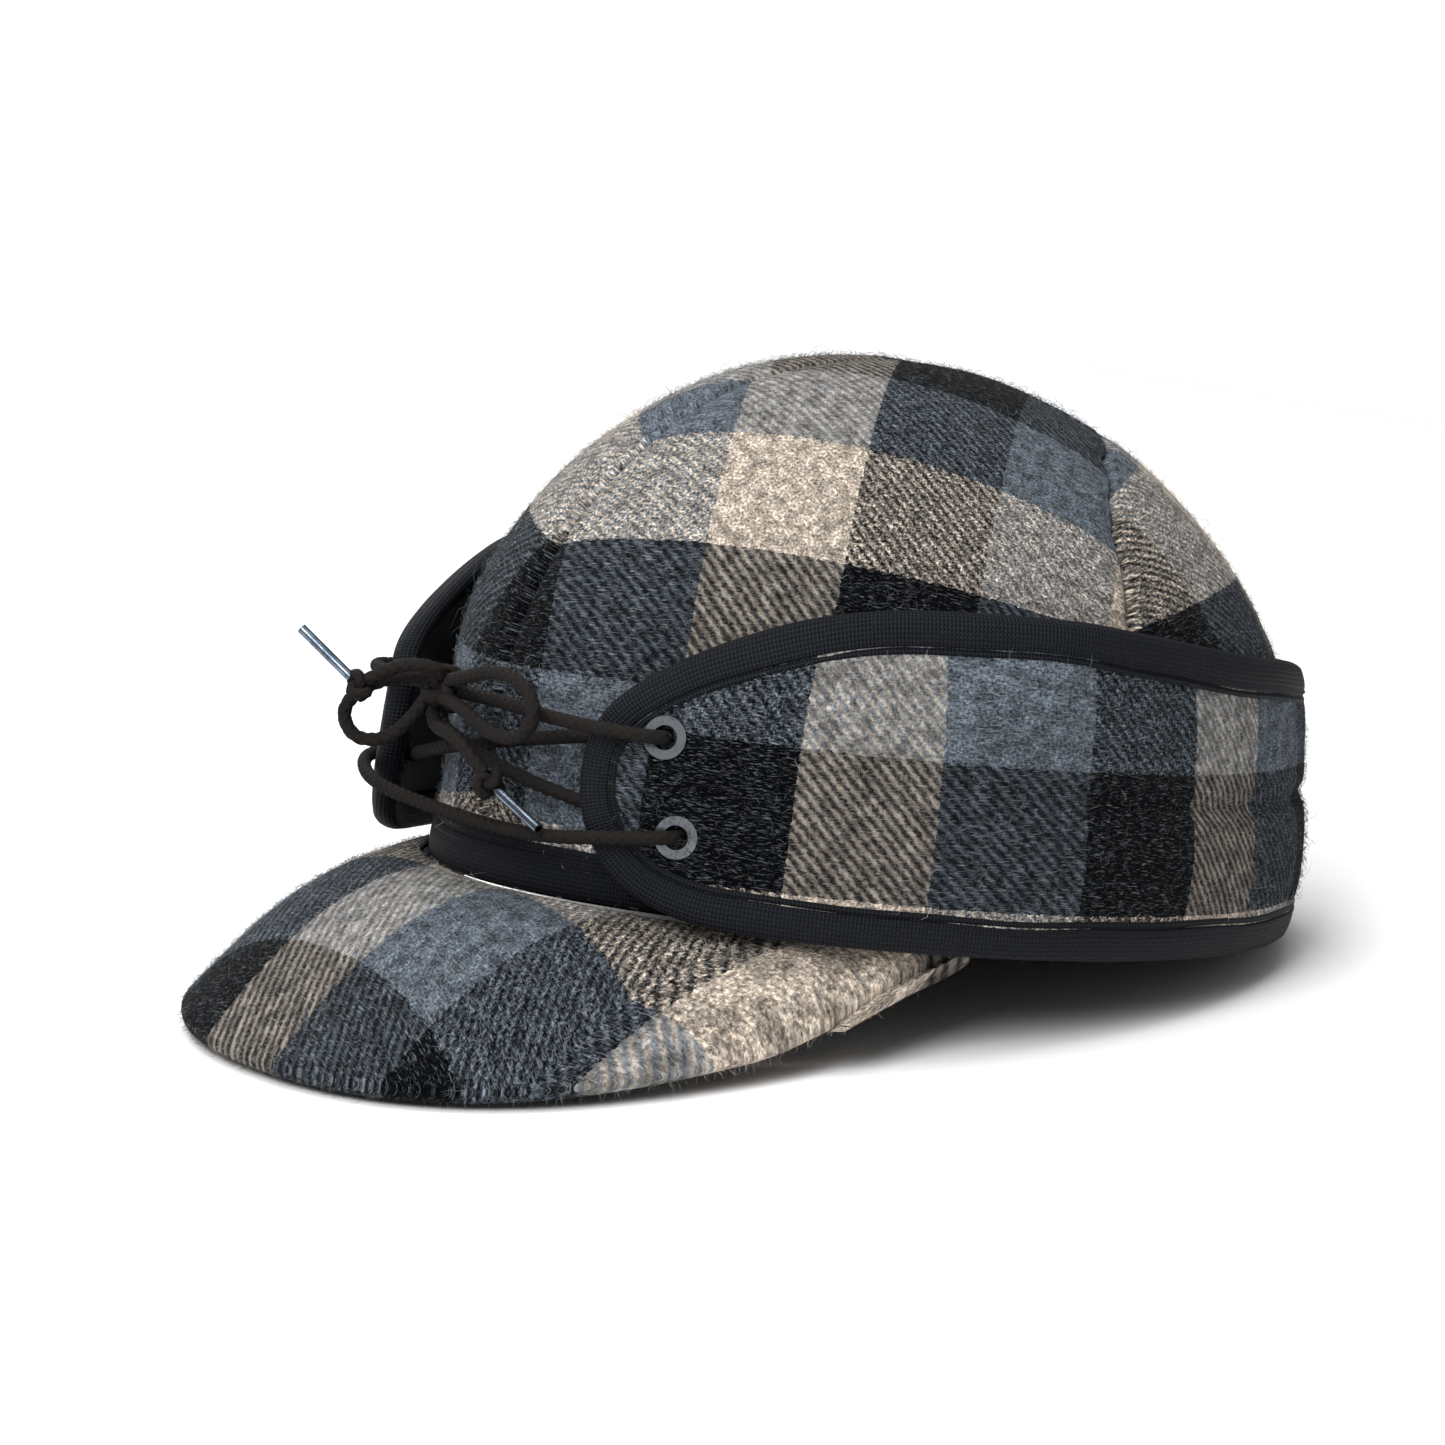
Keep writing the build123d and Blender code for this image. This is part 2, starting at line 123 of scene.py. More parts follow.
# ---- lace ---------------------------------------------------------------------------------
LACE = 3.0
BOW_KNOT, BOW_KNOT_RADIUS, BOW_KNOT_LACE = (-8, -109.2, 39.4), 5.2, 2.9
TAIL_KNOTS = {"left": (17.2, -112.4, 23), "right": (-19, -123.8, 37.8)}
TAIL_KNOT_RADIUS, TAIL_KNOT_LACE = 3.7, 2.3
LACING = (
    (-4.6, -107.8, 39.5), (12, -109.2, 40.4), (29, -108.9, 39.6), (43, -104.6, 39.3),
    (52.8, -95.6, 39), (46.3, -87.6, 39), (34.6, -95.6, 36.8), (20.6, -101.9, 33.8),
    (4, -105, 30.2), (-13, -104, 26.2), (-28, -99.5, 22.8), (-40.5, -92.5, 20.2),
    (-50, -84.5, 18.6), (-56.9, -92.1, 18.6), (-47.5, -102, 17.2), (-33, -108, 14.8),
    (-12, -108.4, 13.6), (12, -108.3, 13.3), (33, -108, 14.4), (47.5, -102, 17),
    (56.9, -92.1, 18.6), (50, -84.5, 18.6), (40.5, -92.5, 20.2), (29, -100.5, 22.6),
    (14, -108.2, 26), (-6, -109, 30.6), (-20, -104.6, 34.2), (-34.6, -95.6, 37),
    (-46.3, -87.6, 39), (-52.8, -95.6, 39), (-43, -104.6, 39.4), (-28, -109, 39.9),
    (-11.4, -107.9, 39.5),
)
# each half of the bow: out along its loop, back through the knot and on along its tail
BOW_CORDS = {
    "left": ((-4.4, -110.6, 42), (4.7, -112.8, 44), (14.5, -113.8, 46.8), (24, -114, 47),
             (31.5, -113.6, 43), (31, -113.4, 36.6), (23.6, -113.6, 33.2), (14, -113.8, 34.4),
             (4.5, -112.8, 37.2), (-4.5, -111, 38), (-10, -109.6, 37.4), (-11.6, -109.4, 34.4),
             (-8.4, -110.6, 31.8), (-3, -112.6, 31.4), (3.6, -114.2, 31.4), (10, -114, 28.8),
             (15.6, -112.8, 24.6)),
    "right": ((-12, -110.6, 37.6), (-13.6, -113, 31.8), (-18.3, -116.2, 26.4),
              (-24.3, -120.3, 25.6), (-27.5, -122.3, 31), (-24.4, -120.4, 36.6),
              (-18, -116, 40.4), (-12.6, -111.4, 41.2), (-8.6, -109.6, 42), (-6.2, -111.4, 43.4),
              (-8, -115, 44.6), (-12.6, -119.4, 43.8), (-17.8, -123, 39.4)),
}
BRAID_STRANDS, BRAID_PITCH = 8, 5.2
BRAID_STEP = 0.00042  # spacing of a lace's rings, in metres

# ---- plaid: lines between blocks, where the pattern's next block starts -------------------
CROWN_ROW_ANGLE, CROWN_ROW = 26.0, 22.0
FRONT_COLUMNS = (-92, -62, -30, -0.5, 28.8, 56, 83)
FRONT_BLOCKS = (3, 2, 1, 0, -1, -2, -3)
BACK_COLUMNS = (-95, -65, -35, -6, 24, 53, 82)
BACK_BLOCKS = (4, 3, 2, 1, 0, -1, -2)
BAND_COLUMNS = (23.4, 53.4, 85.2, 116, 152.7, 184.9, 210, 690)
BAND_BLOCKS = (1, 2, 3, 4, 5, 6, 7, 23)
BAND_ROW_HEIGHT, BAND_ROW = 40.0, 31.0
VISOR_COLUMNS = (-99, -71, -43, -15, 12, 40, 67, 95)
VISOR_COLUMN_BLOCKS = (-3, -2, -1, 0, 1, 2, 3, 4)
VISOR_ROWS = (-170, -137, -103, -57, -20, 10)
VISOR_ROW_BLOCKS = (3, 2, 1, 0, -1, -2)
BLOCK = 30.0  # length of one block of the plaid
# the third coordinate of the plaid, which gives each panel its own uneven wool
BAND_WOOL_PLACE, VISOR_WOOL_PLACE = 3, 8

# ---- floor, light and camera, in metres and degrees ---------------------------------------
FLOOR_REACH, FLOOR_DROP = 0.72, 0.0006
LIGHTS = (("key", (0.5, -1.0, 1.0), 0.8, 19.0), ("top", (0.0, -0.1, 1.5), 1.1, 16.0),
          ("left_back", (-1.2, 0.3, 0.8), 0.7, 6.0))  # name, place, size and power
LIGHTS_AIM = (0, 0, 0.06)
SKY, SKY_SEEN = 0.29, 1.05  # strength of the backdrop's light, and how bright it looks
CAMERA_AZIMUTH, CAMERA_ELEVATION, CAMERA_DISTANCE = 51.919, 11.503, 1.2
CAMERA_TARGET = (0, 0.0224, 0.0595)
CAMERA_LENS, CAMERA_SHIFT = 131.64, (-0.0797, -0.0139)


def srgb(red, green, blue):
    """A colour given on the usual 0 to 255 scale, for a shader."""
    scaled = [value / 255 for value in (red, green, blue)]
    return tuple(((v + 0.055) / 1.055) ** 2.4 if v > 0.04045 else v / 12.92 for v in scaled) + (1,)


def dye(red, green, blue):
    """A yarn's colour as the eye sees it, so that two yarns mix as they look from afar."""
    return (red / 255, green / 255, blue / 255, 1)


TAN, BLUE, BLACK = dye(173, 160, 146), dye(80, 87, 95), dye(10, 12, 15)
PALE = dye(168, 171, 171)


# ---- small helpers ------------------------------------------------------------------------
def to_frame(points):
    """Points around the cap's own axes, in mm, as points of the part's frame, in metres."""
    return (HAT_ORIGIN + np.asarray(points, float) @ HAT_AXES) * MM


def smoothstep(low, high, value):
    share = np.clip((value - low) / (high - low), 0, 1)
    return share * share * (3 - 2 * share)


def unit(vectors):
    length = np.linalg.norm(vectors, axis=-1, keepdims=True)
    return vectors / np.maximum(length, 1e-9)


def lumps(points):
    """Small unevenness of hand-sewn wool, in mm, by place."""
    x, y, z = np.moveaxis(points, -1, 0)
    broad = np.sin(x / 9.1 + 1.3) * np.sin(y / 11.3 + 0.4) * np.cos(z / 8.7)
    close = np.sin(x / 2.3 + y / 3.1) * np.cos(z / 2.6 - y / 4.4)
    return 0.32 * broad + 0.09 * close


def grid_normals(grid, centre=None):
    """Unit normals of a grid of points, turned away from a centre or else upwards."""
    normals = unit(np.cross(np.gradient(grid, axis=1), np.gradient(grid, axis=0)))
    outward = grid - np.asarray(centre, float) if centre is not None else np.array([0, 0, 1.0])
    facing = np.sum(normals * outward, axis=-1, keepdims=True)
    normals = np.where(facing < 0, -normals, normals)
    flat = np.linalg.norm(normals, axis=-1) < 0.5
    normals[flat] = (0, 0, 1)
    return normals


def raw_mesh(name, points, faces, attributes=()):
    """A mesh from points in the part's frame; attributes are 3-D, by point."""
    mesh = bpy.data.meshes.new(name)
    mesh.from_pydata(points.tolist(), [], faces)
    for label, values in attributes:
        layer = mesh.attributes.new(label, "FLOAT_VECTOR", "POINT")
        layer.data.foreach_set("vector", np.asarray(values, np.float32).ravel())
    return mesh


def add_object(name, data):
    piece = bpy.data.objects.new(name, data)
    bpy.context.scene.collection.objects.link(piece)
    return piece


def make_mesh(name, points, faces, material, attributes=()):
    """A smooth mesh object, its doubled points merged and its faces turned outwards."""
    mesh = raw_mesh(name, points, faces, attributes)
    work = bmesh.new()
    work.from_mesh(mesh)
    bmesh.ops.remove_doubles(work, verts=work.verts, dist=2e-6)
    bmesh.ops.recalc_face_normals(work, faces=work.faces)
    work.to_mesh(mesh)
    work.free()
    mesh.polygons.foreach_set("use_smooth", [True] * len(mesh.polygons))
    mesh.materials.append(material)
    return add_object(name, mesh)


def bar_faces(around, length, loop=False):
    """Faces of a bar whose points are a grid: rows go round its section, columns along it."""
    index = np.arange(around * length).reshape(around, length)
    under = np.roll(index, -1, axis=0)
    width = length if loop else length - 1
    corners = [index, np.roll(index, -1, axis=1), np.roll(under, -1, axis=1), under]
    quads = np.stack(corners, -1)[:, :width].reshape(-1, 4).tolist()
    return quads if loop else quads + [index[:, 0].tolist(), index[::-1, -1].tolist()]


def tube_mesh(name, rings, material, attributes=(), loop=True):
    """A closed bar from a grid of points around the cap's axes, in mm."""
    flat = [(label, values.reshape(-1, 3)) for label, values in attributes]
    return make_mesh(name, to_frame(rings.reshape(-1, 3)), bar_faces(*rings.shape[:2], loop),
                     material, flat)


def shell(name, outer, inner, material, attributes=(), closed=False, keep=None):
    """A closed skin between two grids of points around the cap's axes, in mm."""
    rows, columns = outer.shape[:2]
    index = np.arange(rows * columns).reshape(rows, columns)
    right = np.roll(index, -1, axis=1)
    width = columns if closed else columns - 1
    quads = np.stack([index[:-1, :width], right[:-1, :width],
                      right[1:, :width], index[1:, :width]], -1)
    if keep is not None:
        quads = quads[keep[:, :width]]
    quads = quads.reshape(-1, 4)
    under = quads[:, ::-1] + rows * columns
    borders = [(index[0, :width], right[0, :width]), (index[-1, :width], right[-1, :width])]
    if not closed:
        borders += [(index[:-1, 0], index[1:, 0]), (index[:-1, -1], index[1:, -1])]
    walls = [np.stack([a, b, b + rows * columns, a + rows * columns], -1) for a, b in borders]
    faces = np.concatenate([quads, under] + walls).tolist()
    points = to_frame(np.concatenate([outer.reshape(-1, 3), inner.reshape(-1, 3)]))
    doubled = [(label, np.concatenate([values.reshape(-1, 3)] * 2)) for label, values in attributes]
    return make_mesh(name, points, faces, material, doubled)


def fibres(name, outer, normals, plaid, density, seed, material):
    """Loose wool hairs standing on a grid: thin, bent, three-sided slivers."""
    rng = np.random.default_rng(seed)
    edges = outer[:-1, :-1], outer[:-1, 1:], outer[1:, :-1], outer[1:, 1:]
    areas = np.linalg.norm(np.cross(edges[1] - edges[0], edges[2] - edges[0]), axis=-1)
    count = int(areas.sum() * density)
    picked = rng.choice(areas.size, count, p=(areas / areas.sum()).ravel())
    row, column = np.divmod(picked, areas.shape[1])
    down, along = rng.random((2, count, 1))

    def blend(values):
        top = values[row, column] * (1 - along) + values[row, column + 1] * along
        bottom = values[row + 1, column] * (1 - along) + values[row + 1, column + 1] * along
        return top * (1 - down) + bottom * down

    root, up, pattern = blend(outer), unit(blend(normals)), blend(plaid)
    flat = unit(np.cross(up, rng.normal(size=(count, 3))))
    side = np.cross(up, flat)
    length = rng.uniform(0.9, 2.6, (count, 1)) * (1 + (rng.random((count, 1)) > 0.97) * 1.6)
    rise = length * rng.uniform(0.1, 0.5, (count, 1))
    curl = rng.normal(0, 0.5, (count, 1))
    stops = [root - up * 0.15, root + flat * length * 0.5 + up * rise * 0.9,
             root + flat * length * 0.9 + side * length * curl * 0.7 + up * rise]
    width = rng.uniform(0.035, 0.065, (count, 1))
    ring = []
    for stop, thickness in zip(stops[:2], (1.0, 0.8)):
        for angle in (0, 2 * pi / 3, 4 * pi / 3):
            ring.append(stop + (side * cos(angle) + up * sin(angle)) * width * thickness)
    points = np.stack(ring + [stops[2]], axis=1)
    start = np.arange(count)[:, None] * 7
    quads = [start + np.array([k, (k + 1) % 3, 3 + (k + 1) % 3, 3 + k]) for k in range(3)]
    tips = [start + np.array([3 + k, 3 + (k + 1) % 3, 6]) for k in range(3)]
    faces = np.concatenate(quads).tolist() + np.concatenate(tips).tolist()
    patterns = np.repeat(pattern, 7, axis=0)
    mesh = raw_mesh(name, to_frame(points.reshape(-1, 3)), faces, [("plaid", patterns)])
    mesh.materials.append(material)
    return add_object(name, mesh)


# ---- materials ----------------------------------------------------------------------------
class Nodes:
    """A new material's node tree, with short ways to add and join nodes."""

    def __init__(self, name):
        self.material = bpy.data.materials.new(name)
        self.material.use_nodes = True
        self.tree = self.material.node_tree
        self.shader = self.tree.nodes["Principled BSDF"]

    def add(self, kind, **settings):
        node = self.tree.nodes.new(kind)
        for key, value in settings.items():
            setattr(node, key, value)
        return node

    def join(self, source, target):
        self.tree.links.new(source, target)

    def math(self, operation, first, second=None):
        node = self.add("ShaderNodeMath", operation=operation)
        for socket, value in zip(node.inputs, (first, second)):
            if isinstance(value, (int, float)):
                socket.default_value = value
            elif value is not None:
                self.join(value, socket)
        return node.outputs[0]

    def mix(self, share, first, second, blend_type="MIX"):
        node = self.add("ShaderNodeMix", data_type="RGBA", blend_type=blend_type)
        for socket, value in zip((node.inputs[0], node.inputs[6], node.inputs[7]),
                                 (share, first, second)):
            if isinstance(value, (int, float, tuple)):
                socket.default_value = value
            else:
                self.join(value, socket)
        return node.outputs[2]

    def ramp(self, value, stops, interpolation="LINEAR"):
        node = self.add("ShaderNodeValToRGB")
        node.color_ramp.interpolation = interpolation
        elements = node.color_ramp.elements
        while len(elements) < len(stops):
            elements.new(0.5)
        for element, (position, colour) in zip(elements, stops):
            element.position = position
            element.color = colour if isinstance(colour, tuple) else (colour, colour, colour, 1)
        self.join(value, node.inputs[0])
        return node.outputs[0]

    def noise(self, vector, scale, detail=2.0, roughness=0.6, distortion=0.0):
        node = self.add("ShaderNodeTexNoise")
        node.inputs["Scale"].default_value = scale
        node.inputs["Detail"].default_value = detail
        node.inputs["Roughness"].default_value = roughness
        node.inputs["Distortion"].default_value = distortion
        self.join(vector, node.inputs["Vector"])
        return node.outputs[0]

    def scaled(self, vector, x, y, z, turn=0.0):
        node = self.add("ShaderNodeMapping")
        node.inputs["Scale"].default_value = (x, y, z)
        node.inputs["Rotation"].default_value = (0, 0, turn)
        self.join(vector, node.inputs["Vector"])
        return node.outputs[0]

    def bump(self, height, strength, distance):
        node = self.add("ShaderNodeBump")
        node.inputs["Strength"].default_value = strength
        node.inputs["Distance"].default_value = distance
        self.join(height, node.inputs["Height"])
        self.join(node.outputs[0], self.shader.inputs["Normal"])

    def attribute(self, name):
        return self.add("ShaderNodeAttribute", attribute_name=name).outputs["Vector"]

    def position(self):
        return self.add("ShaderNodeTexCoord").outputs["Object"]

    def set(self, **values):
        for key, value in values.items():
            self.shader.inputs[key.replace("_", " ")].default_value = value


def wool(name, lift=0.0):
    """Brushed plaid wool. The plaid attribute counts blocks along the warp and the weft."""
    nodes = Nodes(name)
    plaid = nodes.attribute("plaid")
    cloth = nodes.scaled(plaid, BLOCK, BLOCK, BLOCK)
    fray = nodes.add("ShaderNodeTexNoise")
    fray.inputs["Scale"].default_value = 1.1
    nodes.join(cloth, fray.inputs["Vector"])
    shift = nodes.add("ShaderNodeVectorMath", operation="MULTIPLY_ADD")
    shift.inputs[1].default_value = (0.045, 0.045, 0)
    nodes.join(fray.outputs["Color"], shift.inputs[0])
    nodes.join(plaid, shift.inputs[2])
    parts = nodes.add("ShaderNodeSeparateXYZ")
    nodes.join(shift.outputs[0], parts.inputs[0])
    yarns = []
    for axis in (0, 1):
        place = nodes.math("FRACT", nodes.math("MULTIPLY", parts.outputs[axis], 1 / 3))
        stops = ((0.0, TAN), (1 / 3, BLUE), (2 / 3, BLACK))
        yarns.append(nodes.ramp(place, stops, "CONSTANT"))

    across = nodes.math("SUBTRACT", parts.outputs[0], parts.outputs[1])
    wander = nodes.math("MULTIPLY", nodes.noise(cloth, 0.45), 3.2)
    phase = nodes.math("ADD", nodes.math("MULTIPLY", across, BLOCK * 2 * pi / 2.75), wander)
    wave = nodes.math("ADD", nodes.math("MULTIPLY", nodes.math("SINE", phase), 0.5), 0.5)
    heather = nodes.noise(cloth, 1.5, detail=4.0, roughness=0.78)
    tufts = nodes.ramp(heather, ((0.34, 0.0), (0.66, 1.0)))
    woven = nodes.math("ADD", nodes.math("MULTIPLY", wave, 0.4), nodes.math("MULTIPLY", tufts, 0.6))
    share = nodes.ramp(woven, ((0.2, 0.08), (0.8, 0.92)))
    colour = nodes.mix(share, yarns[0], yarns[1])

    speckle = nodes.ramp(heather, ((0.35, 0.45), (0.5, 0.94), (0.65, 1.5)))
    colour = nodes.mix(1.0, colour, speckle, "MULTIPLY")
    blotches = nodes.ramp(nodes.noise(cloth, 0.32, 3.0, 0.6), ((0.36, 0.74), (0.64, 1.2)))
    colour = nodes.mix(1.0, colour, blotches, "MULTIPLY")
    for turn, seed in ((0.5, 0.0), (2.1, 7.0), (1.2, 13.0)):
        hair = nodes.noise(nodes.scaled(cloth, 0.5, 3.4, 1, turn + seed), 1.0, 1.0, 0.5, 0.6)
        pale = nodes.math("MULTIPLY", nodes.ramp(hair, ((0.62, 0.0), (0.68, 1.0))), 0.34)
        colour = nodes.mix(pale, colour, PALE)
    if lift:
        colour = nodes.mix(lift, colour, PALE)
    light = nodes.add("ShaderNodeGamma")
    light.inputs["Gamma"].default_value = 2.2
    nodes.join(colour, light.inputs["Color"])
    nodes.join(light.outputs[0], nodes.shader.inputs["Base Color"])
    relief = nodes.math("ADD", heather, nodes.math("MULTIPLY", wave, 0.1))
    nodes.bump(relief, 0.6, 0.0006)
    nodes.set(Roughness=0.95, Sheen_Weight=0.02, Sheen_Roughness=0.5, Specular_IOR_Level=0.04)
    return nodes.material


def tape(name):
    """Black grosgrain. The tape attribute is millimetres along it and across it."""
    nodes = Nodes(name)
    place = nodes.attribute("tape")
    parts = nodes.add("ShaderNodeSeparateXYZ")
    nodes.join(place, parts.inputs[0])
    tooth = nodes.math("PINGPONG", parts.outputs[1], 0.5)
    along = nodes.math("MULTIPLY_ADD", tooth, 0.5)
    nodes.join(parts.outputs[0], along.node.inputs[2])
    ribs = nodes.math("SINE", nodes.math("MULTIPLY", along, 2 * pi / 0.85))
    rows = nodes.math("SINE", nodes.math("MULTIPLY", parts.outputs[1], 2 * pi / 1.0))
    weave = nodes.math("ADD", nodes.math("MULTIPLY", ribs, 0.3), nodes.math("MULTIPLY", rows, 0.2))
    weave = nodes.math("ADD", weave, 0.5)
    lint = nodes.noise(nodes.scaled(place, 1, 1, 1), 0.9, 4.0, 0.7)
    thread = nodes.ramp(weave, ((0.1, srgb(4, 5, 6)), (0.95, srgb(30, 33, 39))))
    dusty = nodes.math("MULTIPLY", nodes.ramp(lint, ((0.55, 0.0), (0.75, 1.0))), 0.18)
    nodes.join(nodes.mix(dusty, thread, srgb(60, 63, 68)), nodes.shader.inputs["Base Color"])
    nodes.bump(weave, 0.8, 0.0004)
    nodes.set(Roughness=0.6, Specular_IOR_Level=0.1)
    return nodes.material


def plain_cloth(name, colour, other, scale, roughness):
    """Plain woven cloth for the inside."""
    nodes = Nodes(name)
    place = nodes.position()
    weave = nodes.add("ShaderNodeTexWave", wave_type="BANDS", bands_direction="DIAGONAL")
    weave.inputs["Scale"].default_value = scale
    weave.inputs["Distortion"].default_value = 1.5
    nodes.join(place, weave.inputs["Vector"])
    grain = nodes.noise(place, scale * 1.4, 3.0)
    mixed = nodes.math("ADD", nodes.math("MULTIPLY", weave.outputs["Fac"], 0.5),
                       nodes.math("MULTIPLY", grain, 0.5))
    nodes.join(nodes.ramp(mixed, ((0.25, colour), (0.8, other))), nodes.shader.inputs["Base Color"])
    nodes.bump(mixed, 0.4, 0.0003)
    nodes.set(Roughness=roughness, Sheen_Weight=0.1)
    return nodes.material


def metal(name, dark, light, roughness):
    """Worn metal with fine scratches."""
    nodes = Nodes(name)
    place = nodes.position()
    wear = nodes.noise(place, 380, 4.0, 0.65)
    scratches = nodes.noise(nodes.scaled(place, 300, 2600, 900), 1.0, 2.0)
    mixed = nodes.math("ADD", nodes.math("MULTIPLY", wear, 0.6),
                       nodes.math("MULTIPLY", scratches, 0.4))
    nodes.join(nodes.ramp(mixed, ((0.3, dark), (0.7, light))), nodes.shader.inputs["Base Color"])
    rough = nodes.ramp(mixed, ((0.3, roughness + 0.12), (0.7, roughness - 0.05)))
    nodes.join(rough, nodes.shader.inputs["Roughness"])
    nodes.bump(mixed, 0.12, 0.0001)
    nodes.set(Metallic=1.0)
    return nodes.material


def braid(name):
    """Waxed dark brown lace. The braid attribute is turns round it and millimetres along it."""
    nodes = Nodes(name)
    place = nodes.attribute("braid")
    lint = nodes.noise(nodes.scaled(place, 14, 1.6, 1), 1.0, 3.0, 0.7)
    wear = nodes.noise(nodes.scaled(place, 1.5, 0.12, 1), 1.0, 2.0)
    thread = nodes.ramp(lint, ((0.3, srgb(8, 7, 7)), (0.75, srgb(38, 34, 31))))
    nodes.join(nodes.mix(nodes.math("MULTIPLY", wear, 0.5), thread, srgb(24, 22, 20)),
               nodes.shader.inputs["Base Color"])
    nodes.bump(lint, 0.5, 0.0002)
    nodes.set(Roughness=0.78, Specular_IOR_Level=0.14)
    return nodes.material


def board_plastic(name):
    """The visor's flexible board, hidden between its covers."""
    nodes = Nodes(name)
    grain = nodes.noise(nodes.position(), 900, 3.0)
    nodes.join(nodes.ramp(grain, ((0.3, srgb(70, 72, 74)), (0.7, srgb(92, 94, 96)))),
               nodes.shader.inputs["Base Color"])
    nodes.bump(grain, 0.2, 0.0002)
    nodes.set(Roughness=0.7)
    return nodes.material


WOOL_CLOTH = wool("plaid_wool")
WOOL_HAIR = wool("wool_hair", lift=0.3)
TAPE = tape("grosgrain_tape")
LINING = plain_cloth("lining_cloth", srgb(14, 15, 18), srgb(34, 36, 41), 2600, 0.6)
SWEAT = plain_cloth("sweatband_cloth", srgb(12, 13, 15), srgb(36, 37, 40), 1500, 0.85)
BRAID = braid("braided_lace")
GUNMETAL = metal("gunmetal", srgb(62, 66, 70), srgb(148, 152, 158), 0.26)
BRIGHT = metal("bright_sleeve", srgb(52, 62, 74), srgb(134, 146, 160), 0.22)
BOARD = board_plastic("board_plastic")


def on_cap(piece, slot, *nodes):
    """A piece that moves with the cap and stands for CAD nodes."""
    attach(piece, "cap")
    if nodes:
        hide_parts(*nodes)
    return piece


def bending(piece, slot, *nodes):
    """A piece of the earband, its placement baked into its points, standing for CAD nodes."""
    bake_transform(piece)
    if nodes:
        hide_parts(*nodes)
    return piece


# ---- crown --------------------------------------------------------------------------------
def crown_girth(height):
    """The crown's girth as a share of its widest, and the share of the way up its dome."""
    share = np.clip((height - CROWN_WAIST) / (CROWN_TOP - CROWN_WAIST), 0, 1)
    return (1 - share**DOME_SQUARE) ** DOME_ROUND, share


def crown_surface(turn, height):
    """Points of the crown's outer face."""
    girth, share = crown_girth(height)
    angle = np.radians(turn)
    x = np.sin(angle) * CROWN_WIDTH * girth * (1 - CROWN_EGG * np.cos(angle))
    y = -CROWN_LENGTH * np.cos(angle) * girth + CROWN_LEAN_BACK * share
    tuck = smoothstep(TUCK_HIGH, TUCK_LOW, height)
    x = x * (1 - TUCK_SIDE * tuck)
    y = np.where(y > 0, y * (1 - TUCK_BACK * tuck), y)
    return np.stack([x, y, height + 0 * x], -1)


def crown_heights(top, bottom):
    """Heights evenly spaced along the crown's profile."""
    dense = np.concatenate([CROWN_TOP - (CROWN_TOP - 100) * np.linspace(0, 1, 400) ** 2,
                            np.linspace(99.9, 0, 800)])
    reach = crown_girth(dense)[0] * CROWN_LENGTH
    run = np.concatenate([[0], np.cumsum(np.hypot(np.diff(reach), np.diff(dense)))])
    start, end = np.interp([-top, -bottom], -dense, run)
    return np.interp(np.linspace(start, end, int((end - start) / CELL) + 2), run, dense)


def crown_plaid(points, centre, columns, blocks):
    """Counts of plaid blocks on a panel whose middle is at a turn."""
    angle = radians(centre)
    across = points[..., 0] * cos(angle) + points[..., 1] * sin(angle)
    out = points[..., 0] * sin(angle) - points[..., 1] * cos(angle)
    rise = np.degrees(np.arctan2(points[..., 2] - CROWN_WAIST, np.maximum(out, 1)))
    warp = np.interp(across, columns, blocks)
    return np.stack([warp, (rise - CROWN_ROW_ANGLE) / CROWN_ROW, 0 * warp + centre], -1)


def crown_grid(heights, first, last):
    """A panel's outer face between two seams, drawn in along both of them."""
    share = np.linspace(0, 1, int(150 / CELL))[None, :]
    turns = first[:, None] + (last - first)[:, None] * share
    grid = crown_surface(turns, np.broadcast_to(heights[:, None], turns.shape))
    normals = grid_normals(grid, (0, 0, 30))
    steps = np.linalg.norm(np.diff(grid, axis=1), axis=-1)
    run = np.concatenate([np.zeros((len(heights), 1)), np.cumsum(steps, axis=1)], axis=1)
    near = np.minimum(run, run[:, -1:] - run)
    draw = -1.3 * np.exp(-(near / 1.1) ** 2) - 0.9 * np.exp(-(near / 5.5) ** 2)
    grid = grid + normals * (draw + lumps(grid))[..., None]
    return grid, grid_normals(grid, (0, 0, 30))


def mirrored(side, grid):
    """A grid of the left side, or its mirror image for the right."""
    return grid * np.array([side, 1, 1.0])


SIDES = {"left": 1, "right": -1}
PANEL_KINDS = {"front": (45, FRONT_COLUMNS, FRONT_BLOCKS), "back": (140, BACK_COLUMNS, BACK_BLOCKS)}


def crown_panels():
    """The crown's four wool panels, each with its loose hairs."""
    for place, (centre, columns, blocks) in PANEL_KINDS.items():
        top = CROWN_TOP if place == "front" else SEAM_HEIGHTS[-1]
        heights = crown_heights(top, 0)
        seam = np.interp(heights, SEAM_HEIGHTS, SEAM_TURNS)
        edges = (0 * seam, seam) if place == "front" else (seam, 0 * seam + 180)
        grid, normals = crown_grid(heights, *edges)
        plaid = crown_plaid(grid, centre, columns, blocks)
        for name, side in SIDES.items():
            outer, out = mirrored(side, grid), mirrored(side, normals)
            label = f"panel_{place}_{name}"
            panel = shell(label, outer, outer - out * PANEL_THICKNESS, WOOL_CLOTH,
                          [("plaid", plaid)])
            on_cap(panel, "plaid_wool", f"crown_panel_{place}_{name}")
            hairs = fibres(f"hair_{place}_{name}", outer, out, plaid, WOOL_HAIRS, len(label),
                           WOOL_HAIR)
            on_cap(hairs, "plaid_wool")


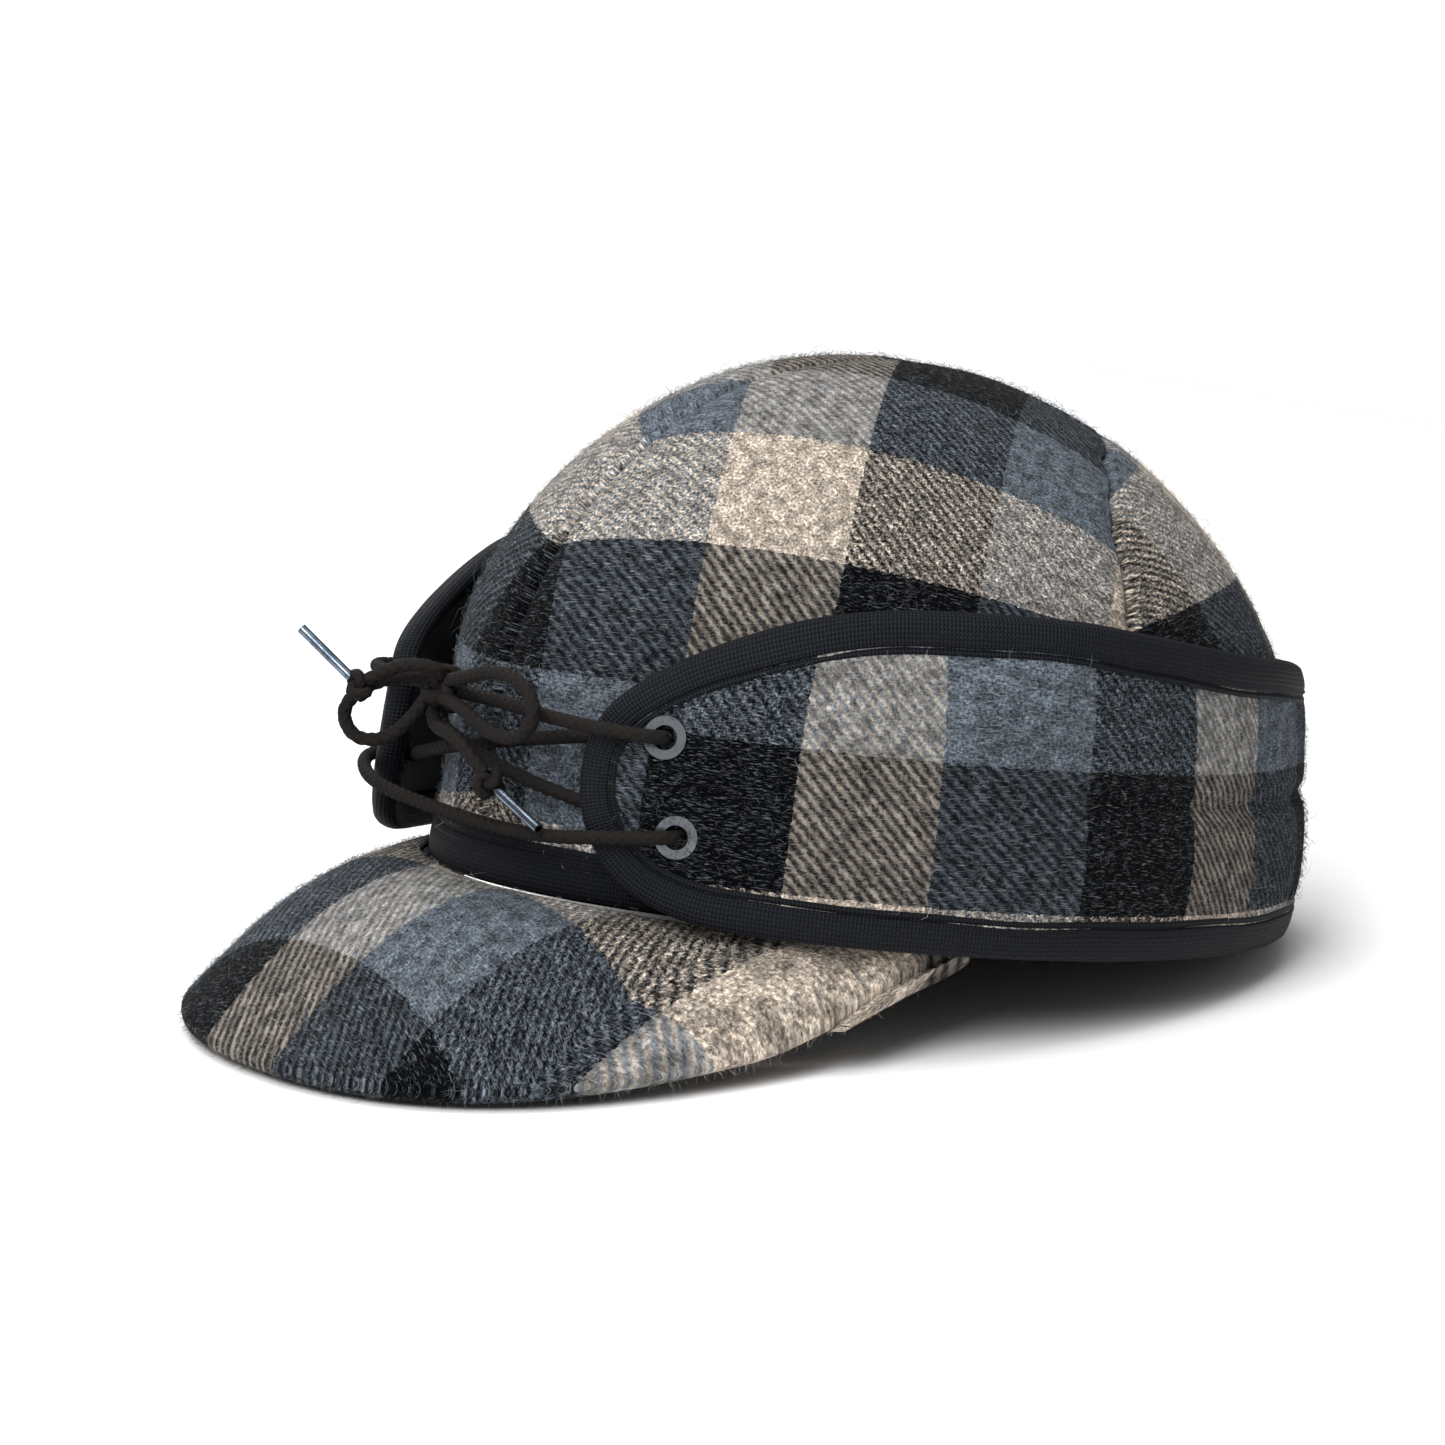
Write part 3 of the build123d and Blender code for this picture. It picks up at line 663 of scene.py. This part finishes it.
def inside_layers():
    """The crown's lining in two halves, and the sweatband round its bottom edge."""
    heights = crown_heights(CROWN_TOP - 0.4, 0)
    turns = np.linspace(0.2, 179.8, 150)[None, :]
    grid = crown_surface(turns, np.broadcast_to(heights[:, None], (len(heights), turns.size)))
    normals = grid_normals(grid, (0, 0, 30))
    for name, side in SIDES.items():
        outer, out = mirrored(side, grid), mirrored(side, normals)
        lining = shell(f"inner_lining_{name}", outer - out * LINING_OUT, outer - out * LINING_IN,
                       LINING)
        on_cap(lining, "lining", f"crown_lining_{name}")
    turns = np.linspace(0, 360, 300, endpoint=False)[None, :]
    heights = np.linspace(SWEAT_BOTTOM, SWEAT_TOP, 26)[:, None]
    grid = crown_surface(turns, np.broadcast_to(heights, (26, 300)))
    normals = grid_normals(np.concatenate([grid, grid[:, :1]], axis=1), (0, 0, 30))[:, :-1]
    fold = 0.5 * np.exp(-((heights - SWEAT_FOLD) / 0.8) ** 2)[..., None]
    sweat = shell("sweat_strip", grid - normals * (SWEAT_OUT + fold),
                  grid - normals * (SWEAT_IN - fold), SWEAT, closed=True)
    on_cap(sweat, "sweatband", "sweatband")


# ---- earband ------------------------------------------------------------------------------
def band_surface(turn, height, depth=0.0):
    """Points at a depth below the earband's outer face."""
    front, side, back = (np.polyval(fit, height) for fit in BAND_FITS)
    across, along = BAND_SIDE * np.sin(np.radians(turn)), -BAND_FRONT * np.cos(np.radians(turn))
    away = np.hypot(across, along)
    across, along = across / away, along / away
    length = np.where(along < 0, front, back)
    reach = 1 / np.sqrt((across / side) ** 2 + (along / length) ** 2)
    from_front = np.abs((turn + 180) % 360 - 180)
    sewn = smoothstep(58, 92, from_front)
    pinch = QUILT_DEPTH * sewn * np.exp(-((height - QUILT_HEIGHT) / 2.4) ** 2)
    puff = 0.7 * np.sin(np.clip(height / 36, 0, 2) * pi) ** 2
    drawn_in = FLAP_DRAW * smoothstep(42, 67, height) * smoothstep(86, 60, from_front)
    reach = reach - pinch + puff * sewn - drawn_in - depth
    return np.stack([across * reach, along * reach, height + 0 * reach], -1)


def smooth_line(points, step):
    """Evenly spaced points of a smooth closed curve through points of turn and height."""
    scaled = np.array(points, float) * (DEGREE, 1)
    before, after = np.roll(scaled, 1, axis=0), np.roll(scaled, -1, axis=0)
    beyond = np.roll(scaled, -2, axis=0)
    share = np.linspace(0, 1, 40, endpoint=False)[None, :, None]
    start, end = scaled[:, None], after[:, None]
    pull, push = (after - before)[:, None] / 2, (beyond - scaled)[:, None] / 2
    cubic = ((2 * share**3 - 3 * share**2 + 1) * start + (share**3 - 2 * share**2 + share) * pull
             + (3 * share**2 - 2 * share**3) * end + (share**3 - share**2) * push)
    dense = np.concatenate([cubic.reshape(-1, 2), cubic[0, :1]])
    run = np.concatenate([[0], np.cumsum(np.linalg.norm(np.diff(dense, axis=0), axis=1))])
    at = np.linspace(0, run[-1], int(run[-1] / step), endpoint=False)
    spots = np.stack([np.interp(at, run, dense[:, 0]), np.interp(at, run, dense[:, 1])], -1)
    return spots / (DEGREE, 1)


def band_outline():
    """The earband's whole edge: along the bottom, round the left flap, over the top and back."""
    half = list(BAND_BOTTOM) + list(FLAP_EDGE[::-1]) + list(BAND_TOP[:-1])
    right = [(360 - turn, height) for turn, height in half[::-1]]
    return [(180, 0)] + half + [BAND_TOP[-1]] + right


def band_arc(turn):
    """Distance round the earband from its front, by turn."""
    dense = np.radians(np.linspace(0, 360, 1441))
    steps = np.hypot(BAND_SIDE * np.cos(dense), BAND_FRONT * np.sin(dense))
    return np.interp(np.radians(turn), dense, np.cumsum(steps) * (dense[1] - dense[0]))


def band_heights(outline, turns, inset):
    """Lowest and highest point of the earband's cloth at each turn."""
    folded = 180 - np.abs(outline[:, 0] - 180)
    tip = outline[np.argmin(folded), 1]
    lower = outline[(outline[:, 1] <= tip) & (outline[:, 0] <= 180)]
    upper = outline[(outline[:, 1] >= tip) & (outline[:, 0] <= 180)]
    near = 180 - np.abs(turns - 180)
    low = np.interp(near, *lower[np.argsort(lower[:, 0])].T)
    high = np.interp(near, *upper[np.argsort(upper[:, 0])].T)
    middle = (low + high) / 2
    return np.minimum(low + inset, middle), np.maximum(high - inset, middle)


def band_plaid(turns, heights):
    warp = np.interp(band_arc(turns), BAND_COLUMNS, BAND_BLOCKS)
    weft = 2 + (BAND_ROW_HEIGHT - heights) / BAND_ROW
    return np.stack([warp, weft, 0 * warp + BAND_WOOL_PLACE], -1)


def clear_of_eyelets(turns, heights):
    """Which faces of an earband grid stay, round the four eyelet holes."""
    height = (heights[:-1, :-1] + heights[1:, 1:]) / 2
    turn = (turns[:-1, :-1] + turns[1:, 1:]) / 2
    keep = np.ones((heights.shape[0] - 1, heights.shape[1]), bool)
    for hole_turn, hole_height in EYELETS:
        for middle in (hole_turn, 360 - hole_turn):
            away = np.hypot((turn - middle) * DEGREE, height - hole_height)
            keep[:, :-1] &= away > EYELET_HOLE
    return keep


def earband():
    """The earband's wool, lining and binding, each one piece from flap to flap."""
    outline = smooth_line(band_outline(), 0.6)
    tip = outline[:, 0].min()
    half = tip + 0.05 + (180 - tip - 0.05) * np.linspace(0, 1, 250) ** 1.35
    turns = np.concatenate([half, 360 - half[-2::-1]])
    low, high = band_heights(outline, turns, 0.6)
    rows = np.linspace(1, 0, 58)[:, None]
    heights = low[None, :] + (high - low)[None, :] * rows
    spread = np.broadcast_to(turns[None, :], heights.shape)
    grid = band_surface(spread, heights)
    normals = grid_normals(grid, (0, 0, 35))
    grid = grid + normals * lumps(grid)[..., None]
    keep = clear_of_eyelets(spread, heights)
    outer = shell("earband_plaid", grid, band_surface(spread, heights, BAND_WOOL), WOOL_CLOTH,
                  [("plaid", band_plaid(spread, heights))], keep=keep)
    bending(outer, "plaid_wool", "earband_wool", "flap_left_wool", "flap_right_wool")
    backing = shell("earband_backing", band_surface(spread, heights, BAND_LINING_OUT),
                    band_surface(spread, heights, BAND_LINING_IN), LINING, keep=keep)
    bending(backing, "lining", "earband_lining", "flap_left_lining", "flap_right_lining")
    low, high = band_heights(outline, turns, HAIR_INSET)
    heights = low[None, :] + (high - low)[None, :] * rows
    hairy = band_surface(spread, heights)
    hairs = fibres("hair_earband", hairy, grid_normals(hairy, (0, 0, 35)),
                   band_plaid(spread, heights), WOOL_HAIRS, 5, WOOL_HAIR)
    bending(hairs, "plaid_wool")
    band_tape(outline)


def section_run(section):
    """Distance round a tape's section at each of its points."""
    steps = np.linalg.norm(np.diff(section, axis=0), axis=1)
    return np.concatenate([[0], np.cumsum(steps)])


def band_tape(outline):
    """Grosgrain folded over the earband's whole edge."""
    edge = band_surface(outline[:, 0], outline[:, 1])
    along = unit(np.roll(edge, -2, axis=0) - np.roll(edge, 2, axis=0))
    outward = unit(band_surface(outline[:, 0], outline[:, 1], -1.0) - edge)
    inward = unit(np.cross(along, outward))
    if np.dot(inward[0], (0, 0, 1)) < 0:
        inward = -inward
    run = np.concatenate([[0], np.cumsum(np.linalg.norm(np.diff(edge, axis=0), axis=1))])
    rings, places = [], []
    for (inset, depth), across in zip(TAPE_SECTION, section_run(TAPE_SECTION)):
        waver = 0.25 * np.sin(run / 17.0) + 0.15 * np.sin(run / 6.1)
        spot = edge + inward * (inset + (waver if inset > 0.5 else 0 * waver))[:, None]
        turn = np.degrees(np.arctan2(spot[:, 0] / BAND_SIDE, -spot[:, 1] / BAND_FRONT)) % 360
        rings.append(band_surface(turn, spot[:, 2], depth))
        places.append(np.stack([run, 0 * run + across, 0 * run], -1))
    binding = tube_mesh("earband_tape", np.stack(rings), TAPE, [("tape", np.stack(places))])
    bending(binding, "grosgrain", "earband_top_binding", "earband_bottom_binding",
            "flap_left_binding", "flap_right_binding")


def hem():
    """Grosgrain round the front of the crown's bottom edge, folded under it."""
    turns = np.linspace(-HEM_END, HEM_END, 520)
    rings, places = [], []
    run = np.radians(turns) * HEM_RADIUS
    for (height, proud), across in zip(HEM_SECTION, section_run(HEM_SECTION)):
        grid = crown_surface(turns, 0 * turns + height)
        away = unit(grid * (1, 1, 0))
        rings.append(grid + away * proud)
        places.append(np.stack([run, 0 * run + across, 0 * run], -1))
    strip = tube_mesh("hem_tape", np.stack(rings), TAPE, [("tape", np.stack(places))], loop=False)
    on_cap(strip, "grosgrain", "front_hem_binding")


# ---- visor --------------------------------------------------------------------------------
def visor_surface(across, out):
    """The visor's top face: across from -1 to 1 between its ends, out from hem to edge."""
    turn = np.radians(across * VISOR_TURN)
    side, front, height = VISOR_HEM
    top = np.stack([side * np.sin(turn), -front * np.cos(turn), height + 0 * turn], -1)
    swing = np.radians(90 * across)
    fore = np.abs(np.cos(swing)) ** VISOR_SQUARE_Y
    edge = np.stack([VISOR_SIDE * np.abs(np.sin(swing)) ** VISOR_SQUARE_X * np.sign(across),
                     -VISOR_BACK - VISOR_LENGTH * fore,
                     VISOR_CORNER - VISOR_DROP * fore**VISOR_FALL
                     + VISOR_LIFT * smoothstep(0.88, 1.0, np.abs(across))], -1)
    rise = VISOR_BULGE * 4 * out * (1 - out) * np.cos(swing)
    return top + (edge - top) * out[..., None] + rise[..., None] * np.array([0, 0, 1.0])


def visor_plaid(grid):
    """Counts of plaid blocks on the visor, whose rows bend back near its two sides."""
    bent = grid[..., 1] - 1.1 * np.maximum(np.abs(grid[..., 0]) - 62, 0)
    warp = np.interp(grid[..., 0], VISOR_COLUMNS, VISOR_COLUMN_BLOCKS)
    weft = np.interp(bent, VISOR_ROWS, VISOR_ROW_BLOCKS)
    return np.stack([warp, weft, 0 * warp + VISOR_WOOL_PLACE], -1)


def visor():
    """Top and under covers, rolled together at the edge over the board."""
    across = np.sin(np.linspace(-90, 90, 190) * pi / 180)[None, :] * 0.9996
    out = np.linspace(0, VISOR_ROLL, 60)[:, None]
    across, out = np.broadcast_arrays(across, out)
    face = visor_surface(across, out)
    normals = grid_normals(face)
    ends = smoothstep(1.0, 0.92, np.abs(across))[..., None]
    thickness = VISOR_END_THICKNESS + (VISOR_THICKNESS - VISOR_END_THICKNESS) * ends
    face = face + normals * (lumps(face) * 0.6 + 0.3)[..., None] * ends
    beyond = unit(face[-1] - face[-2])
    down = normals[-1]
    half = thickness[-1] / 2
    wrap = np.linspace(0, pi * 0.94, 13)[1:]
    roll = [face[-1] + beyond * half * 0.9 * sin(angle) - down * half * (1 - cos(angle))
            for angle in wrap]
    top = np.concatenate([face, np.stack(roll)])
    plaid = visor_plaid(top)
    out_of = np.concatenate([normals] + [unit(beyond * sin(a) + down * cos(a))[None] for a in wrap])
    cover = shell("visor_cover_top", top, top - out_of * VISOR_COVER, WOOL_CLOTH,
                  [("plaid", plaid)])
    on_cap(cover, "plaid_wool", "visor_top_cover")
    middle = slice(8, -8)
    hairs = fibres("hair_visor", top[:, middle], out_of[:, middle], plaid[:, middle],
                   VISOR_HAIRS, 8, WOOL_HAIR)
    on_cap(hairs, "plaid_wool")

    under = (face - normals * thickness)[:-1]
    cover = shell("visor_cover_under", under, under + normals[:-1] * VISOR_UNDER_COVER,
                  WOOL_CLOTH, [("plaid", visor_plaid(under))])
    on_cap(cover, "plaid_wool", "visor_under_cover")


# ---- lace ---------------------------------------------------------------------------------
def spline_points(name, route):
    """Points along a NURBS spline whose control points are a route's."""
    curve = bpy.data.curves.new(name, "CURVE")
    curve.dimensions = "3D"
    curve.resolution_u = 16
    spline = curve.splines.new("NURBS")
    spline.points.add(len(route) - 1)
    for point, spot in zip(spline.points, to_frame(route)):
        point.co = (*spot, 1)
    spline.order_u = 3
    spline.use_endpoint_u = True
    holder = bpy.data.objects.new(name, curve)
    line = bpy.data.meshes.new_from_object(holder)
    spots = np.array([vertex.co for vertex in line.vertices])
    bpy.data.objects.remove(holder)
    bpy.data.curves.remove(curve)
    return spots


def even(spots, step):
    """Evenly spaced points along a line, and the distance of each from its start."""
    run = np.concatenate([[0], np.cumsum(np.linalg.norm(np.diff(spots, axis=0), axis=1))])
    at = np.linspace(0, run[-1], int(run[-1] / step) + 2)
    return np.stack([np.interp(at, run, spots[:, k]) for k in range(3)], -1), at


def braided(name, spots, width):
    """A braided round lace along a line of points in the part's frame, and that line."""
    line, run = even(spots, BRAID_STEP)
    along = unit(np.gradient(line, axis=0))
    across = [unit(np.cross(along[0], (0.31, 0.2, 0.93)))]
    for direction in along[1:]:
        across.append(unit(across[-1] - direction * np.dot(across[-1], direction)))
    across = np.array(across)
    beside = np.cross(along, across)
    angles = np.linspace(0, 2 * pi, 24, endpoint=False)
    rings, places = [], []
    for angle in angles:
        travel = run / (BRAID_PITCH * MM) * 2 * pi
        left = np.sin(angle * BRAID_STRANDS / 2 + travel * 2)
        right = np.sin(angle * BRAID_STRANDS / 2 - travel * 2)
        radius = width / 2 * (0.88 + 0.16 * np.maximum(left, right))
        rings.append(line + (across * cos(angle) + beside * sin(angle)) * radius[:, None])
        places.append(np.stack([0 * run + angle / (2 * pi) * 6, run / MM, 0 * run], -1))
    grid = np.stack(rings)
    piece = make_mesh(name, grid.reshape(-1, 3), bar_faces(*grid.shape[:2]), BRAID,
                      [("braid", np.stack(places).reshape(-1, 3))])
    return piece, line


def knot(name, centre, radius, axis, width):
    """An overhand knot drawn tight: a short lace wound through itself."""
    turn = np.linspace(0, 2 * pi, 160)
    size = radius - width * 0.35
    curve = np.stack([np.sin(turn) + 2 * np.sin(2 * turn), np.cos(turn) - 2 * np.cos(2 * turn),
                      -np.sin(3 * turn) * 1.5], -1) / 3 * size
    up = unit(np.array(axis, float))
    side = unit(np.cross(up, (0.2, 0.1, 1.0)))
    spots = curve @ np.array([side, np.cross(up, side), up])
    piece, _ = braided(name, to_frame(np.array(centre) + spots), width * MM)
    return piece


def laces():
    """The lacing, the bow and the tails, as braided cords with their knots and metal ends."""
    lacing, line = braided("lace_lacing", spline_points("lacing_line", LACING), LACE * MM)
    on_cap(lacing, "lace", "lacing")
    wrap = knot("bow_wrap", BOW_KNOT, BOW_KNOT_RADIUS, (0.2, -1, 0.25), BOW_KNOT_LACE)
    on_cap(wrap, "lace", "bow_knot")
    for name, route in BOW_CORDS.items():
        spots = spline_points(f"bow_line_{name}", route)
        half, line = braided(f"lace_bow_{name}", spots, LACE * MM)
        on_cap(half, "lace", f"bow_loop_{name}", f"lace_tail_{name}")
        aim = np.array(route[-1]) - np.array(route[-2])
        tail = knot(f"tail_wrap_{name}", TAIL_KNOTS[name], TAIL_KNOT_RADIUS, tuple(aim),
                    TAIL_KNOT_LACE)
        on_cap(tail, "lace", f"tail_knot_{name}")


def finish_nodes():
    """Materials of the CAD nodes that stay: the eyelets, the aglets and the visor's board."""
    for name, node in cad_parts.items():
        material = {"eye": GUNMETAL, "agl": BRIGHT, "vis": BOARD}.get(name[:3])
        if material:
            node.data.materials.clear()
            node.data.materials.append(material)


# ---- floor, light and camera --------------------------------------------------------------
def studio():
    """A plain pale floor, three soft lights and a white backdrop."""
    mesh = bpy.data.meshes.new("floor")
    corners = [(-1, -1), (1, -1), (1, 1), (-1, 1)]
    mesh.from_pydata([(FLOOR_REACH * x, FLOOR_REACH * y, 0) for x, y in corners],
                     [], [(0, 1, 2, 3)])
    paper = Nodes("paper")
    paper.set(Roughness=0.9)
    paper.shader.inputs["Base Color"].default_value = (0.95, 0.95, 0.95, 1)
    mesh.materials.append(paper.material)
    floor = add_object("floor", mesh)
    floor.location.z = -FLOOR_DROP

    world = bpy.data.worlds.new("studio")
    bpy.context.scene.world = world
    world.use_nodes = True
    tree = world.node_tree
    tree.nodes["Background"].inputs["Color"].default_value = (1, 1, 1, 1)
    seen = tree.nodes.new("ShaderNodeLightPath")
    strength = tree.nodes.new("ShaderNodeMapRange")
    strength.inputs["To Min"].default_value = SKY
    strength.inputs["To Max"].default_value = SKY_SEEN
    tree.links.new(seen.outputs["Is Camera Ray"], strength.inputs["Value"])
    tree.links.new(strength.outputs[0], tree.nodes["Background"].inputs["Strength"])
    for name, place, size, power in LIGHTS:
        light = bpy.data.lights.new(name, "AREA")
        light.size = size
        light.energy = power
        lamp = add_object(name, light)
        lamp.location = place
        aim = Vector(LIGHTS_AIM) - lamp.location
        lamp.rotation_euler = aim.to_track_quat("-Z", "Y").to_euler()


def camera():
    """The camera at the photograph's viewing angle."""
    azimuth, elevation = radians(CAMERA_AZIMUTH), radians(CAMERA_ELEVATION)
    back = Vector((sin(azimuth) * cos(elevation), -cos(azimuth) * cos(elevation), sin(elevation)))
    lens = bpy.data.cameras.new("camera")
    lens.lens = CAMERA_LENS
    lens.sensor_width = 36
    lens.shift_x, lens.shift_y = CAMERA_SHIFT
    lens.clip_start, lens.clip_end = 0.05, 50
    holder = add_object("camera", lens)
    holder.location = Vector(CAMERA_TARGET) + back * CAMERA_DISTANCE
    holder.rotation_euler = (-back).to_track_quat("-Z", "Y").to_euler()
    bpy.context.scene.camera = holder
    bpy.context.scene.view_settings.view_transform = "Standard"


camera()
laces()
crown_panels()
inside_layers()
earband()
hem()
visor()
finish_nodes()
studio()

bpy.context.view_layer.update()
